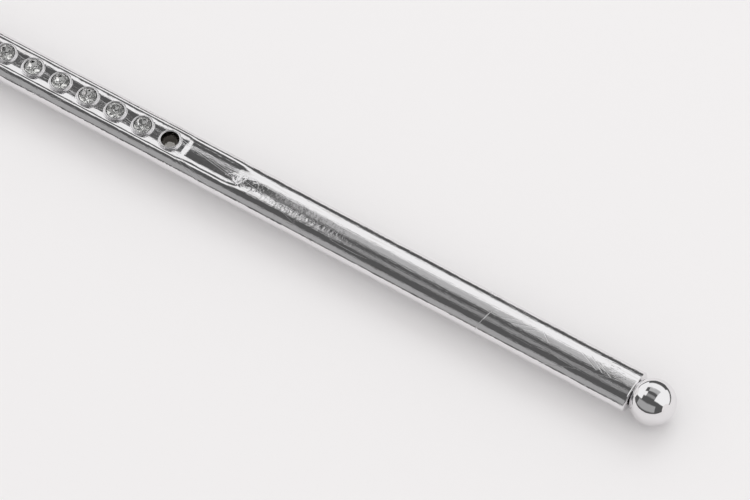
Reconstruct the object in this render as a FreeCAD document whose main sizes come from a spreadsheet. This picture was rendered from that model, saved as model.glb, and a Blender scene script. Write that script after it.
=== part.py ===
import FreeCAD, Part
import os

import Sketcher

# A fairy wand lying on its back, stones up. Millimetres, +Z up.
# The shaft runs along X, with the ball at the +X end and the star at the -X end.
# The origin is under the middle of the wand, on the surface that it lies on:
# the ball and the star's back rest on z = 0, and hold the oval shaft just clear of it.

DIMENSIONS = {
    # oval shaft
    "shaft_width": 10.2,
    "shaft_depth": 6.4,
    "shaft_edge": 0.5,
    "handle_length": 119.6,
    "cup_margin": 5.8,
    # shallow channel that the row of stones stands in
    "channel_floor": 2.2,
    "channel_floor_half": 1.9,
    "channel_slope": 17.0,
    "channel_shelf_rise": 0.2,
    "channel_shelf_past_cup": 3.6,
    "channel_past_cup": 21.0,
    "channel_run_out": 5.0,
    # row of cups for small stones
    "cup_count": 15,
    "cup_pitch": 6.9,
    "cup_rise": 2.92,
    "cup_depth": 3.1,
    "cup_floor_radius": 1.25,
    "cup_mouth_radius": 1.95,
    "cup_rim_radius": 2.4,
    "cup_post_foot": 0.5,
    # small stone
    "stone_radius": 1.86,
    "stone_below_rim": 0.15,
    # ball and its spigot
    "ball_radius": 5.1,
    "ball_standoff": 4.2,
    "spigot_radius": 1.95,
    "spigot_length": 16.0,
    "spigot_tip": 0.6,
    "slip_fit": 0.05,
    # collar, three rings in one piece
    "collar_ring_count": 3,
    "collar_ring_radius": 1.5,
    "collar_radius": 5.0,
    "collar_core_radius": 4.2,
    "collar_gap": 2.2,
    # star head
    "star_reach": 36.0,
    "star_inner": 17.0,
    "star_tip_half": 0.9,
    "star_edge": 2.0,
    "star_top": 6.0,
    "star_top_share": 0.2,
    "star_wall": 1.5,
    "star_cavity_share": 0.9,
    "star_foot_edge": 0.6,
    "neck_radius": 3.5,
    "neck_overlap": 2.0,
    "tenon_radius": 2.25,
    "tenon_past_wall": 3.0,
    # cups of the star
    "arm_cup_start": 12.6,
    "notch_cup_place": 11.2,
    "arm_rim_rise": 0.55,
    "notch_rim_rise": 1.0,
    "star_post_foot": 0.3,
    # locating pins under the middle cup of each arm, and the posts that take them
    "pin_radius": 0.95,
    "pin_length": 2.6,
    "post_radius": 2.2,
    "post_foot": 0.4,
    "post_gap": 0.1,
    "post_hole_depth": 3.0,
    # large stone in the middle of the star
    "centre_stone_radius": 5.9,
    "centre_mouth_radius": 6.0,
    "centre_floor_radius": 4.2,
    "centre_rim_radius": 7.0,
    "centre_rim_rise": 1.1,
    "centre_depth": 4.4,
    # how far a feature runs into, or past, the one that it joins or cuts
    "overlap": 1.0,
}

# A stone's outline, as shares of its radius.
STONE_TABLE = 0.56
STONE_CROWN = 0.38
STONE_GIRDLE = 0.1
STONE_PAVILION = 0.82
STONE_CULET = 0.06
STONE_SIDES = 8

ARMS = 5
ARM_CUP_NAMES = ("inner", "middle", "outer")
NOTCH_TURN = 180.0 / ARMS
FIRST_ARM_TURN = 180.0  # the first arm points along the wand, away from the shaft
FIRST_STONE = 2  # the cup nearest the handle has lost its stone
TOLERANCE = 0.01

# Distances measured from the first cup, along the shaft.
ROW_LENGTH = "(dims.cup_count - 1) * dims.cup_pitch"
SHAFT_HEAD = f"({ROW_LENGTH} + dims.cup_margin)"
SHAFT_FOOT = "(dims.handle_length - dims.ball_standoff)"
COLLAR_LENGTH = "(dims.collar_ring_count * 2 * dims.collar_ring_radius)"
NECK_LENGTH = f"({COLLAR_LENGTH} + dims.collar_gap)"
STAR_PLACE = f"({SHAFT_HEAD} + {NECK_LENGTH} + dims.star_inner)"

# Places in the wand's own frame.
WAND_LENGTH = f"({STAR_PLACE} + dims.star_reach + dims.handle_length + dims.ball_radius)"
FIRST_CUP_X = f"({WAND_LENGTH} / 2 - dims.ball_radius - dims.handle_length)"
STAR_X = f"({FIRST_CUP_X} - {STAR_PLACE})"
AXIS_Z = "dims.ball_radius"

ALONG_X = FreeCAD.Rotation(FreeCAD.Vector(1, 1, 1), 120)
AGAINST_X = FreeCAD.Rotation(FreeCAD.Vector(0, 0, 1), 180) * ALONG_X
ALONG_X_LOWER_HALF = FreeCAD.Rotation(FreeCAD.Vector(1, 0, 0), 180) * ALONG_X

doc = FreeCAD.newDocument("fairy_wand")


def make_sheet():
    """The driving dimensions, one row each, with the alias that the expressions use."""
    sheet = doc.addObject("Spreadsheet::Sheet", "dims")
    for row, (alias, size) in enumerate(DIMENSIONS.items(), start=1):
        sheet.set(f"A{row}", alias.replace("_", " "))
        sheet.set(f"B{row}", str(size))
        sheet.setAlias(f"B{row}", alias)
    doc.recompute()
    return sheet


def value(expression):
    """What an expression on the sheet comes to, as a plain number."""
    return float(sheet.evalExpression(str(expression)))


def bind(piece, **expressions):
    """Bind sizes of a piece, and x, y and z of its place, to expressions on the sheet."""
    for name, expression in expressions.items():
        path = f"Placement.Base.{name}" if name in ("x", "y", "z") else name
        piece.setExpression(path, str(expression))
    return piece


def place(piece, x="0", y="0", z="0"):
    """Give a finished piece its place in the wand."""
    return bind(piece, x=x, y=y, z=z)


def new_body(label):
    body = doc.addObject("PartDesign::Body", label)
    body.Label = label
    return body


def origin_of(body, role):
    """One of the planes or axes of a body's own origin, by its role."""
    return next(item for item in body.Origin.OriginFeatures if item.Role == role)


def sketch_on(body, name, role, raised="0"):
    """An empty sketch on one of the body's origin planes, raised along that plane's normal."""
    sketch = body.newObject("Sketcher::SketchObject", name)
    sketch.AttachmentSupport = [(origin_of(body, role), "")]
    sketch.MapMode = "FlatFace"
    sketch.setExpression("AttachmentOffset.Base.z", raised)
    return sketch


def pin_point(sketch, line, across, up):
    """Dimension the start of a line from the sketch's origin."""
    for kind, expression in (("DistanceX", across), ("DistanceY", up)):
        size = value(expression)
        index = sketch.addConstraint(Sketcher.Constraint(kind, -1, 1, line, 1, size))
        sketch.setExpression(f"Constraints[{index}]", expression)


def draw_outline(sketch, corners):
    """A closed outline of straight lines through corners, each a pair of expressions."""
    points = [FreeCAD.Vector(value(across), value(up), 0) for across, up in corners]
    for start, end in zip(points, points[1:] + points[:1]):
        sketch.addGeometry(Part.LineSegment(start, end))
    for line in range(len(corners)):
        following = (line + 1) % len(corners)
        sketch.addConstraint(Sketcher.Constraint("Coincident", line, 2, following, 1))
    for line, (across, up) in enumerate(corners):
        pin_point(sketch, line, across, up)
    return sketch


def draw_oval(sketch, width, depth):
    """An ellipse about the sketch's origin, width across and depth up."""
    half_width = value(width) / 2
    half_depth = value(depth) / 2
    middle = FreeCAD.Vector(0, 0, 0)
    sketch.addGeometry(Part.Ellipse(middle, half_width, half_depth))
    sketch.exposeInternalGeometry(0)
    sketch.addConstraint(Sketcher.Constraint("Coincident", 0, 3, -1, 1))
    sketch.addConstraint(Sketcher.Constraint("Horizontal", 1))
    across = sketch.addConstraint(Sketcher.Constraint("Distance", 1, 2 * half_width))
    up = sketch.addConstraint(Sketcher.Constraint("Distance", 2, 2 * half_depth))
    sketch.setExpression(f"Constraints[{across}]", width)
    sketch.setExpression(f"Constraints[{up}]", depth)
    return sketch


def pad(body, name, sketch, length, reverse=False):
    feature = body.newObject("PartDesign::Pad", name)
    feature.Profile = sketch
    feature.Reversed = reverse
    return bind(feature, Length=length)


def primitive(body, name, kind, turn=None, **expressions):
    """A PartDesign primitive that adds to or cuts from the body, such as AdditiveCylinder."""
    feature = body.newObject(f"PartDesign::{kind}", name)
    if turn:
        feature.Placement = FreeCAD.Placement(FreeCAD.Vector(), turn)
    return bind(feature, **expressions)


def rimmed_cup(body, name, x, y, foot, rim_top, kind="cup"):
    """A round post standing from foot up to rim_top, with a tapered blind cup in it."""
    post = primitive(
        body, f"{name}_rim", "AdditiveCylinder", Radius=f"dims.{kind}_rim_radius",
        Height=f"{rim_top} - {foot}", x=x, y=y, z=foot,
    )
    cup = primitive(
        body, f"{name}_cup", "SubtractiveCone", Radius1=f"dims.{kind}_floor_radius",
        Radius2=f"dims.{kind}_mouth_radius", Height=f"dims.{kind}_depth", x=x, y=y,
        z=f"{rim_top} - dims.{kind}_depth",
    )
    return [post, cup]


def make_shaft():
    """Oval shaft, drawn about its axis with the first cup at x = 0."""
    body = new_body("shaft")
    end = sketch_on(body, "shaft_oval", "YZ_Plane", f"-{SHAFT_HEAD}")
    oval = draw_oval(end, "dims.shaft_width", "dims.shaft_depth")
    bar = pad(body, "shaft_bar", oval, f"{SHAFT_HEAD} + {SHAFT_FOOT}")
    doc.recompute()
    foot = [f"Edge{i}" for i, edge in enumerate(bar.Shape.Edges, start=1) if edge.BoundBox.XMin > 0]
    rounding = body.newObject("PartDesign::Fillet", "shaft_foot_rounding")
    rounding.Base = (bar, foot)
    bind(rounding, Radius="dims.shaft_edge")
    cut_channel(body)
    for number in range(DIMENSIONS["cup_count"]):
        along = f"-{number} * dims.cup_pitch"
        rimmed_cup(body, f"cup_{number + 1:02d}", along, "0", "dims.cup_post_foot", "dims.cup_rise")
    primitive(
        body, "tenon", "AdditiveCylinder", AGAINST_X, Radius="dims.tenon_radius",
        Height=f"{NECK_LENGTH} + dims.tenon_past_wall + dims.overlap", x=f"dims.overlap - {SHAFT_HEAD}",
    )
    primitive(
        body, "spigot_hole", "SubtractiveCylinder", AGAINST_X,
        Radius="dims.spigot_radius + dims.slip_fit", Height="dims.spigot_length", x="dims.handle_length",
    )
    primitive(
        body, "ball_seat", "SubtractiveSphere",
        Radius="dims.ball_radius + dims.slip_fit", x="dims.handle_length",
    )
    return place(body, x=FIRST_CUP_X, z=AXIS_Z)


def channel_section(body, name, along, rise):
    """The channel's section across the shaft: a flat floor between two slopes, open at the top."""
    half = "dims.channel_floor_half"
    floor = f"(dims.channel_floor + {rise})"
    deep = "(dims.shaft_depth / 2 + dims.overlap - dims.channel_floor)"
    run = f"{deep} / tan(dims.channel_slope)"
    corners = [
        (f"-{half}", floor),
        (half, floor),
        (f"{half} + {run}", f"{floor} + {deep}"),
        (f"-{half} - {run}", f"{floor} + {deep}"),
    ]
    return draw_outline(sketch_on(body, name, "YZ_Plane", along), corners)


def cut_channel(body):
    """The channel along the shaft's top: past the first cup it steps up to a shelf, then slopes out."""
    shelf = "dims.channel_shelf_rise"
    shelf_start = "dims.channel_shelf_past_cup"
    slope_start = "(dims.channel_past_cup - dims.channel_run_out)"
    row = body.newObject("PartDesign::Pocket", "channel_at_cups")
    row.Profile = channel_section(body, "across_cups", shelf_start, "0")
    bind(row, Length=f"{shelf_start} + {SHAFT_HEAD} + dims.overlap")
    past = body.newObject("PartDesign::Pocket", "channel_shelf")
    past.Profile = channel_section(body, "across_shelf", slope_start, shelf)
    bind(past, Length=f"{slope_start} - {shelf_start} + dims.overlap")
    run_out = body.newObject("PartDesign::SubtractiveLoft", "channel_run_out")
    run_out.Profile = channel_section(body, "run_out_start", slope_start, shelf)
    rise = "(dims.shaft_depth / 2 - dims.channel_floor)"
    run_out.Sections = [channel_section(body, "run_out_end", "dims.channel_past_cup", rise)]
    run_out.Ruled = True


def make_ball():
    """Ball with a plain spigot, drawn about the ball's middle."""
    ball = bind(doc.addObject("Part::Sphere", "ball"), Radius="dims.ball_radius")
    spigot = bind(
        doc.addObject("Part::Cylinder", "ball_spigot"), Radius="dims.spigot_radius",
        Height="dims.spigot_length - 2 * dims.spigot_tip",
    )
    tip = bind(
        doc.addObject("Part::Cone", "ball_spigot_tip"), Radius1="dims.spigot_radius",
        Radius2="dims.spigot_radius - dims.spigot_tip", Height="dims.spigot_tip",
        x="2 * dims.spigot_tip - dims.spigot_length",
    )
    spigot.Placement.Rotation = AGAINST_X
    tip.Placement.Rotation = AGAINST_X
    knob = doc.addObject("Part::MultiFuse", "ball_finial")
    knob.Shapes = [ball, spigot, tip]
    knob.Label = "ball_finial"
    return place(knob, x=f"{FIRST_CUP_X} + dims.handle_length", z=AXIS_Z)


def make_collar():
    """Three rounded rings in one piece, drawn from its end at the shaft towards the star."""
    count = DIMENSIONS["collar_ring_count"]
    core = doc.addObject("Part::Cylinder", "collar_core")
    bind(core, Radius="dims.collar_core_radius", Height=COLLAR_LENGTH)
    rings = []
    for number in range(count):
        ring = doc.addObject("Part::Torus", f"collar_ring_{number + 1}")
        bind(
            ring, Radius1="dims.collar_radius - dims.collar_ring_radius",
            Radius2="dims.collar_ring_radius", z=f"dims.collar_ring_radius * {2 * number + 1}",
        )
        rings.append(ring)
    solid = doc.addObject("Part::MultiFuse", "collar_rings")
    solid.Shapes = [core, *rings]
    hole = bind(
        doc.addObject("Part::Cylinder", "collar_hole"), Radius="dims.neck_radius + dims.slip_fit",
        Height=f"{COLLAR_LENGTH} + 2 * dims.overlap", z="-dims.overlap",
    )
    collar = doc.addObject("Part::Cut", "collar")
    collar.Base = solid
    collar.Tool = hole
    collar.Label = "collar"
    collar.Placement.Rotation = AGAINST_X
    return place(collar, x=f"{FIRST_CUP_X} - {SHAFT_HEAD}", z=AXIS_Z)


def arm_turn(arm):
    """The way that an arm points, in degrees about the star's middle. The first arm is number 0."""
    return FIRST_ARM_TURN + 360 / ARMS * arm


def star_corners(share="1"):
    """The star's outline about its middle, as a share of its full size, with its tips cut blunt."""
    corners = []
    for arm in range(ARMS):
        turn = arm_turn(arm)
        for side in (-1, 1):
            half = f"{side} * dims.star_tip_half"
            across = f"(dims.star_reach * cos({turn}) - {half} * sin({turn}))"
            up = f"(dims.star_reach * sin({turn}) + {half} * cos({turn}))"
            corners.append((f"{share} * {across}", f"{share} * {up}"))
        notch = turn + NOTCH_TURN
        across = f"dims.star_inner * cos({notch})"
        up = f"dims.star_inner * sin({notch})"
        corners.append((f"{share} * {across}", f"{share} * {up}"))
    return corners


def star_sketch(body, name, raised="0", share="1"):
    return draw_outline(sketch_on(body, name, "XY_Plane", raised), star_corners(share))


def star_loft(body, name, kind, lower, upper):
    """A faceted star between two outlines."""
    feature = body.newObject(f"PartDesign::{kind}", name)
    feature.Profile = lower
    feature.Sections = [upper]
    feature.Ruled = True
    return feature


def repeat_on_arms(body, name, originals):
    """Repeat features of the first arm on all the arms."""
    pattern = body.newObject("PartDesign::PolarPattern", name)
    pattern.Originals = originals
    pattern.Axis = (origin_of(body, "Z_Axis"), [""])
    pattern.Angle = 360
    pattern.Occurrences = ARMS
    body.Tip = pattern
    return pattern


def half_neck(body, turn):
    """Half of the neck that the collar goes over, with its half of the tenon's hole."""
    primitive(
        body, "neck", "AdditiveCylinder", turn, Radius="dims.neck_radius", Angle="180",
        Height=f"dims.neck_overlap + {NECK_LENGTH} - dims.slip_fit",
        x="dims.star_inner - dims.neck_overlap",
    )
    primitive(
        body, "tenon_hole", "SubtractiveCylinder", ALONG_X,
        Radius="dims.tenon_radius + dims.slip_fit",
        Height=f"{NECK_LENGTH} + dims.tenon_past_wall + dims.overlap",
        x="dims.star_inner - dims.tenon_past_wall - dims.slip_fit",
    )


def arm_cup_place(number):
    """How far from the star's middle a cup of an arm stands."""
    return f"(dims.arm_cup_start + {number} * dims.cup_pitch)"


def facet_height(place_out, reach):
    """Height of a ridge or a valley above the split, at a distance from the star's middle."""
    run = f"({reach} * (1 - dims.star_top_share))"
    return f"(dims.star_edge + (dims.star_top - dims.star_edge) * ({reach} - {place_out}) / {run})"


def arm_rim_top(number):
    return f"({facet_height(arm_cup_place(number), 'dims.star_reach')} + dims.arm_rim_rise)"


def notch_rim_top():
    return f"({facet_height('dims.notch_cup_place', 'dims.star_inner')} + dims.notch_rim_rise)"


CENTRE_RIM_TOP = "(dims.star_top + dims.centre_rim_rise)"
CAVITY_TOP_SHARE = "(dims.star_top_share * dims.star_cavity_share)"


def make_star_front():
    """Faceted front shell with all the star's cups, drawn about its middle on the split."""
    body = new_body("star_front")
    pad(body, "front_band", star_sketch(body, "front_outline"), "dims.star_edge")
    star_loft(
        body, "front_facets", "AdditiveLoft",
        star_sketch(body, "facet_foot", "dims.star_edge"),
        star_sketch(body, "facet_top", "dims.star_top", "dims.star_top_share"),
    )
    star_loft(
        body, "front_cavity", "SubtractiveLoft",
        star_sketch(body, "cavity_foot", "0", "dims.star_cavity_share"),
        star_sketch(body, "cavity_top", "dims.star_top - dims.star_wall", CAVITY_TOP_SHARE),
    )
    foot = "dims.star_post_foot"
    arm_features = []
    for number, name in enumerate(ARM_CUP_NAMES):
        out = f"-{arm_cup_place(number)}"
        arm_features += rimmed_cup(body, f"arm_{name}", out, "0", foot, arm_rim_top(number))
    across = f"-dims.notch_cup_place * cos({NOTCH_TURN})"
    up = f"dims.notch_cup_place * sin({NOTCH_TURN})"
    arm_features += rimmed_cup(body, "notch", across, up, foot, notch_rim_top())
    pin = primitive(
        body, "locating_pin", "AdditiveCylinder", Radius="dims.pin_radius",
        Height=f"dims.pin_length + {foot} + dims.overlap", x=f"-{arm_cup_place(1)}", z="-dims.pin_length",
    )
    arm_features.append(pin)
    repeat_on_arms(body, "front_arms", arm_features)
    rimmed_cup(body, "centre", "0", "0", foot, CENTRE_RIM_TOP, kind="centre")
    half_neck(body, ALONG_X)
    return place(body, x=STAR_X, z=AXIS_Z)


def make_star_back():
    """Flat back shell with posts for the pins, drawn about its middle on the split."""
    body = new_body("star_back")
    tray = pad(body, "back_tray", star_sketch(body, "back_outline"), AXIS_Z, reverse=True)
    doc.recompute()
    foot = [
        f"Edge{i}"
        for i, edge in enumerate(tray.Shape.Edges, start=1)
        if edge.BoundBox.ZMax < TOLERANCE - value(AXIS_Z)
    ]
    softened = body.newObject("PartDesign::Chamfer", "back_foot_edge")
    softened.Base = (tray, foot)
    bind(softened, Size="dims.star_foot_edge")
    hollow = body.newObject("PartDesign::Pocket", "back_cavity")
    hollow.Profile = star_sketch(body, "back_cavity_outline", "0", "dims.star_cavity_share")
    bind(hollow, Length=f"{AXIS_Z} - dims.star_wall")
    post = primitive(
        body, "post", "AdditiveCylinder", Radius="dims.post_radius",
        Height=f"{AXIS_Z} - dims.post_foot - dims.post_gap",
        x=f"-{arm_cup_place(1)}", z=f"dims.post_foot - {AXIS_Z}",
    )
    hole = primitive(
        body, "post_hole", "SubtractiveCylinder", Radius="dims.pin_radius + dims.slip_fit",
        Height="dims.post_hole_depth", x=f"-{arm_cup_place(1)}", z="-dims.post_hole_depth",
    )
    repeat_on_arms(body, "back_posts", [post, hole])
    half_neck(body, ALONG_X_LOWER_HALF)
    return place(body, x=STAR_X, z=AXIS_Z)


def make_stone(label, radius, x, y, rim_top):
    """A faceted stone with a flat table and a pointed back, its girdle just under the rim."""
    heights = (-STONE_PAVILION - STONE_GIRDLE, -STONE_GIRDLE, 0, STONE_CROWN)
    widths = (STONE_CULET, 1, 1, STONE_TABLE)
    sections = []
    for level, (height, width) in enumerate(zip(heights, widths), start=1):
        ring = doc.addObject("Part::RegularPolygon", f"{label}_outline_{level}")
        ring.Polygon = STONE_SIDES
        bind(ring, Circumradius=f"{radius} * {width}", z=f"{radius} * {height}")
        sections.append(ring)
    stone = doc.addObject("Part::Loft", label)
    stone.Label = label
    stone.Sections = sections
    stone.Solid = True
    stone.Ruled = True
    return place(stone, x=x, y=y, z=f"{AXIS_Z} + {rim_top} - dims.stone_below_rim")


def make_shaft_stones():
    """The row on the shaft. Its first cup is empty."""
    stones = []
    for number in range(FIRST_STONE, DIMENSIONS["cup_count"] + 1):
        x = f"{FIRST_CUP_X} - {number - 1} * dims.cup_pitch"
        stones.append(make_stone(f"shaft_stone_{number:02d}", "dims.stone_radius", x, "0", "dims.cup_rise"))
    return stones


def make_star_stones():
    """Three stones on each arm, one in each notch, and the large one in the middle."""
    stones = []
    for arm in range(ARMS):
        turn = arm_turn(arm)
        for number, name in enumerate(ARM_CUP_NAMES):
            x = f"{STAR_X} + {arm_cup_place(number)} * cos({turn})"
            y = f"{arm_cup_place(number)} * sin({turn})"
            label = f"arm_{arm + 1}_{name}_stone"
            stones.append(make_stone(label, "dims.stone_radius", x, y, arm_rim_top(number)))
        notch = turn - NOTCH_TURN
        x = f"{STAR_X} + dims.notch_cup_place * cos({notch})"
        y = f"dims.notch_cup_place * sin({notch})"
        stones.append(make_stone(f"notch_stone_{arm + 1}", "dims.stone_radius", x, y, notch_rim_top()))
    stones.append(make_stone("centre_stone", "dims.centre_stone_radius", STAR_X, "0", CENTRE_RIM_TOP))
    return stones


def check(pieces):
    """Stop before anything is written if a feature failed or a piece isn't one good solid."""
    for item in doc.Objects:
        if "Invalid" in item.State or "Error" in item.State:
            raise SystemExit(f"{item.Label} failed: {item.State}")
    for piece in pieces:
        if piece.Shape.isNull() or not piece.Shape.isValid():
            raise SystemExit(f"{piece.Label} has no valid shape")
        if len(piece.Shape.Solids) != 1:
            raise SystemExit(f"{piece.Label} has {len(piece.Shape.Solids)} solids")


def write(pieces):
    os.makedirs("parts", exist_ok=True)
    for piece in pieces:
        piece.Shape.exportStep(f"parts/{piece.Label}.step")
        box = piece.Shape.BoundBox
        print(
            f"{piece.Label}: volume {piece.Shape.Volume:.1f}, x {box.XMin:.2f} to {box.XMax:.2f}, "
            f"y {box.YMin:.2f} to {box.YMax:.2f}, z {box.ZMin:.2f} to {box.ZMax:.2f}"
        )


sheet = make_sheet()
pieces = [make_shaft(), make_ball(), make_collar(), make_star_front(), make_star_back()]
pieces += make_shaft_stones()
pieces += make_star_stones()
doc.recompute()
check(pieces)
write(pieces)
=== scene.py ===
import math

import bmesh
import bpy
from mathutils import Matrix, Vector, noise


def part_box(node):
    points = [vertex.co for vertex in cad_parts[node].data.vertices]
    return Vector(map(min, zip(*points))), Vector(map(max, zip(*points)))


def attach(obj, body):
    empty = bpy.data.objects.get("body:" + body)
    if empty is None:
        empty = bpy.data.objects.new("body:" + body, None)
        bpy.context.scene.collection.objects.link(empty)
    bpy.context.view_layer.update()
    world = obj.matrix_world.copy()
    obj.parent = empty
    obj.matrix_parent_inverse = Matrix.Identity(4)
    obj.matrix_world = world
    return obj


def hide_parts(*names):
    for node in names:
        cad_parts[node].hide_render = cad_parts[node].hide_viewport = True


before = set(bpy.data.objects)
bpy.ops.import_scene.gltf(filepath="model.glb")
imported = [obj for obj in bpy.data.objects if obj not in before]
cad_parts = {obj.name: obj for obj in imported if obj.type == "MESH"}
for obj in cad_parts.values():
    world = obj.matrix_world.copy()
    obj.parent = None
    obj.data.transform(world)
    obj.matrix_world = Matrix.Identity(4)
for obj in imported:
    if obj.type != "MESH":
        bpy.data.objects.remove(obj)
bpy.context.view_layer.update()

# A chrome-plated fairy wand, lying stones up. Metres, in the frame's own axes:
# the shaft runs along X, with the ball at its +X end and the star at its -X end.

MM = 0.001
TURN = 2 * math.pi


# ---------------------------------------------------------------- sizes, from the frame

class Sizes:
    """Places and sizes that several pieces share, read from the frame's boxes."""

    shaft_low, shaft_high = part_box("shaft")
    ball_low, ball_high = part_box("ball_finial")
    collar_low, collar_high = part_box("collar")
    stone_low, stone_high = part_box("shaft_stone_02")
    next_stone_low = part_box("shaft_stone_03")[0]

    ball_radius = (ball_high.z - ball_low.z) / 2
    ball_x = ball_high.x - ball_radius
    axis_z = ball_low.z + ball_radius

    half_width = (shaft_high.y - shaft_low.y) / 2
    half_depth = (shaft_high.z - shaft_low.z) / 2
    foot_x = shaft_high.x
    head_x = collar_high.x

    stone_radius = (stone_high.y - stone_low.y) / 2
    cup_pitch = stone_low.x - next_stone_low.x
    first_cup_x = (stone_low.x + stone_high.x) / 2 + cup_pitch
    cup_count = 1 + sum(name.startswith("shaft_stone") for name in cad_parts)

    # the channel along the shaft's top, measured up from the shaft's axis
    channel_floor = 2.2 * MM
    channel_floor_half = 1.9 * MM
    channel_slope = math.tan(math.radians(17))
    shelf_rise = 0.2 * MM
    shelf_start = first_cup_x + 3.6 * MM
    shelf_crown = 0.12 * MM
    channel_end = first_cup_x + 21 * MM
    run_out_start = first_cup_x + 16 * MM
    floor_softness = 0.2 * MM
    lip_softness = 0.4 * MM

    # the sockets at the shaft's two ends
    seat_gap = 0.05 * MM
    spigot_radius = 1.95 * MM
    socket_radius = 2.0 * MM
    socket_depth = 6 * MM
    tenon_radius = 2.25 * MM

    # cups
    rim_top = 2.92 * MM
    rim_radius = 2.4 * MM
    mouth_radius = 1.95 * MM
    cup_floor_radius = 1.25 * MM
    cup_depth = 3.1 * MM

    # star
    star_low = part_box("star_front")[0]
    centre_low, centre_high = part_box("centre_stone")
    star_x = (centre_low.x + centre_high.x) / 2
    star_reach = star_x - star_low.x
    star_inner = 17 * MM
    star_tip_half = 0.9 * MM
    star_edge = 2.0 * MM
    star_top = 6.0 * MM
    star_top_share = 0.2
    neck_radius = 3.5 * MM
    centre_rim_radius = 7.0 * MM
    centre_mouth_radius = 6.0 * MM
    centre_floor_radius = 4.2 * MM
    centre_cup_depth = 4.4 * MM
    stone_below_rim = 0.15 * MM


# ---------------------------------------------------------------- mesh helpers

def new_piece(name, points, faces, material, smooth=True):
    """A closed mesh piece in place, with its doubles merged and its faces turned outwards."""
    mesh = bpy.data.meshes.new(name)
    mesh.from_pydata([tuple(p) for p in points], [], faces)
    form = bmesh.new()
    form.from_mesh(mesh)
    bmesh.ops.remove_doubles(form, verts=form.verts, dist=0.002 * MM)
    bmesh.ops.recalc_face_normals(form, faces=form.faces)
    form.to_mesh(mesh)
    form.free()
    mesh.polygons.foreach_set("use_smooth", [smooth] * len(mesh.polygons))
    if material:
        mesh.materials.append(material)
    piece = bpy.data.objects.new(name, mesh)
    bpy.context.scene.collection.objects.link(piece)
    return piece


class Sheet:
    """Points and faces gathered loop by loop."""

    def __init__(self):
        self.points = []
        self.faces = []

    def loop(self, points):
        start = len(self.points)
        self.points += points
        return list(range(start, len(self.points)))

    def bridge(self, first, second, closed=True):
        count = len(first)
        for i in range(count if closed else count - 1):
            j = (i + 1) % count
            self.faces.append((first[i], first[j], second[j], second[i]))

    def strip(self, loops, closed=True):
        for first, second in zip(loops, loops[1:]):
            self.bridge(first, second, closed)

    def cap(self, loop):
        middle = sum((Vector(self.points[i]) for i in loop), Vector()) / len(loop)
        tip = self.loop([middle])[0]
        for i in range(len(loop)):
            self.faces.append((loop[i], loop[(i + 1) % len(loop)], tip))


def soft_min(a, b, softness):
    """The smaller of two heights, with the corner between them rounded."""
    share = min(max(0.5 + 0.5 * (b - a) / softness, 0), 1)
    return b + (a - b) * share - softness * share * (1 - share)


def smooth_share(share):
    """0 up to 0, 1 from 1 on, and a smooth rise between them."""
    held = min(max(share, 0), 1)
    return held * held * (3 - 2 * held)


def soft_max(a, b, softness):
    return -soft_min(-a, -b, softness)


# ---------------------------------------------------------------- shaft

CELL_SIDE = 22          # steps along each side of the cell round a cup
CELL_RINGS = 8          # rings from the cell's outline in to the rim
SIDE_STEPS = 60         # steps round the shaft outside the strip that holds the channel
HANDLE_STEP = 0.8 * MM
NECK_STEPS = 5
LIP_STEPS = 8           # over a rim's rounded lip
WALL_STEPS = 6          # down a cup's wall
CORNER_STEPS = 4        # round the corner of a cup's floor
FOOT_ROUNDING = 0.5 * MM
FOOT_STEPS = 5
DISH_MARGIN = 0.03 * MM # least width of the flat round the ball's dish
SHELF_STEP = 1.0 * MM   # length of the step up to the shelf
STRIP_SHARE = 0.8       # half the strip's width, as a share of half the shaft's


def top_height(x, y):
    """Height of the shaft's top above its axis: the oval, less the channel and its ramp."""
    s = Sizes
    oval = s.half_depth * math.sqrt(max(1 - (y / s.half_width) ** 2, 0))
    slope = s.channel_floor + (abs(y) - s.channel_floor_half) * s.channel_slope
    lift = (s.half_depth - s.channel_floor - s.shelf_rise) / (s.channel_end - s.run_out_start)
    rise = soft_max(0, (x - s.run_out_start) * lift, s.floor_softness)
    on_shelf = smooth_share((x - s.shelf_start) / SHELF_STEP)
    crown = s.shelf_crown * max(1 - (y / s.channel_floor_half) ** 2, 0)
    shelf = on_shelf * (s.shelf_rise + crown)
    channel = soft_max(s.channel_floor, slope, s.floor_softness) + rise + shelf
    return soft_min(oval, channel, s.lip_softness)


# The moulding's waves and finer ripples: how long they are along and round the shaft, how far they
# move its skin, and how much further where the channel ends.
WAVE_LENGTH = 9 * MM
WAVE_ROUND = 14 * MM
WAVE_DEPTH = 0.018 * MM
WAVE_MORE = 0.028 * MM
RIPPLE_LENGTH = 3.2 * MM
RIPPLE_ROUND = 4 * MM
RIPPLE_DEPTH = 0.003 * MM
RIPPLE_MORE = 0.006 * MM
SINK_REACH = 14 * MM


def shaft_point(x, y, up):
    """A point of the shaft, moved a little by the moulding's shrinkage, which leaves long shallow waves."""
    s = Sizes
    wave = noise.noise(Vector((x / WAVE_LENGTH, y / WAVE_ROUND, up / WAVE_ROUND)))
    ripple = noise.noise(Vector((x / RIPPLE_LENGTH, y / RIPPLE_ROUND, up / RIPPLE_ROUND + 7)))
    near_channel = math.exp(-((x - s.channel_end) / SINK_REACH) ** 2)
    amount = (WAVE_DEPTH + WAVE_MORE * near_channel) * wave
    amount += (RIPPLE_DEPTH + RIPPLE_MORE * near_channel) * ripple
    away = Vector((0, y, up)).normalized()
    return Vector((x, y, s.axis_z + up)) + away * amount


def strip_half():
    return Sizes.half_width * STRIP_SHARE


def side_profile():
    """The oval's own outline from the strip's front edge down under the shaft to its back edge."""
    s = Sizes
    start = math.asin(strip_half() / s.half_width)
    span = TURN - 2 * start
    profile = []
    for step in range(1, SIDE_STEPS):
        angle = start + span * step / SIDE_STEPS
        profile.append((-s.half_width * math.sin(angle), s.half_depth * math.cos(angle)))
    return profile


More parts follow.
